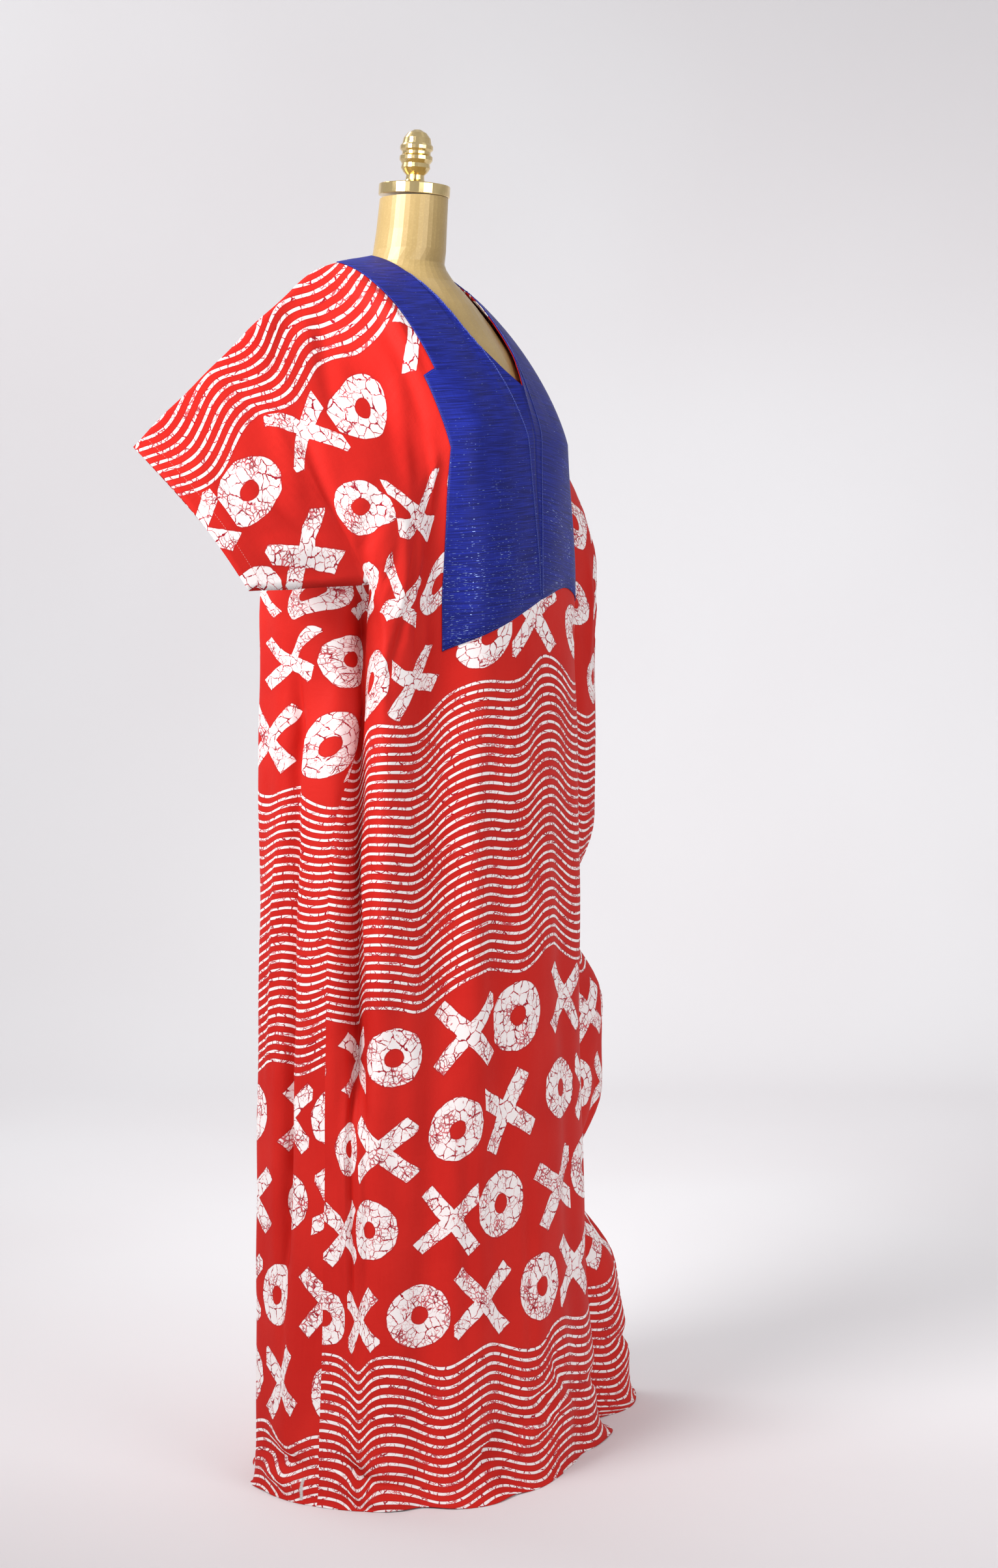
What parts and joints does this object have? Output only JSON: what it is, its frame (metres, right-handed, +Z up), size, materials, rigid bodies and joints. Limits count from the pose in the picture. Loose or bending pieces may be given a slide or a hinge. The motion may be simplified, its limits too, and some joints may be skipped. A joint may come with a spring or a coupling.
{
  "type": "grand boubou robe on a dress form",
  "caption": "Wide floor-length robe with folded sleeves, a V neck and a two-part bib, draped over a limbless dress form on a round-based stand.",
  "frame": {"origin": "bottom centre of the bounding box, on the floor", "axes": "+Z up; the robe's front faces -Y, the wearer's left sleeve points to +X"},
  "size_m": [0.9782, 0.4096, 1.7463],
  "materials": {
    "printed_cotton": "matt wax-print cotton, red with white rings, crosses and wavy stripes",
    "blue_brocade": "dark blue slubbed cloth with metallic threads",
    "gold_paint": "satin gold paint over a moulded form",
    "polished_gold": "polished",
    "stand_metal": "brushed"
  },
  "bodies": {
    "root": {"robe_front": "printed_cotton", "robe_back": "printed_cotton", "bib_right": "blue_brocade", "bib_left": "blue_brocade", "form_torso": "gold_paint", "form_neck_cap": "polished_gold", "form_finial": "polished_gold", "stand_collar": "stand_metal", "stand_pole": "stand_metal", "stand_base": "stand_metal"}
  },
  "joints": []
}
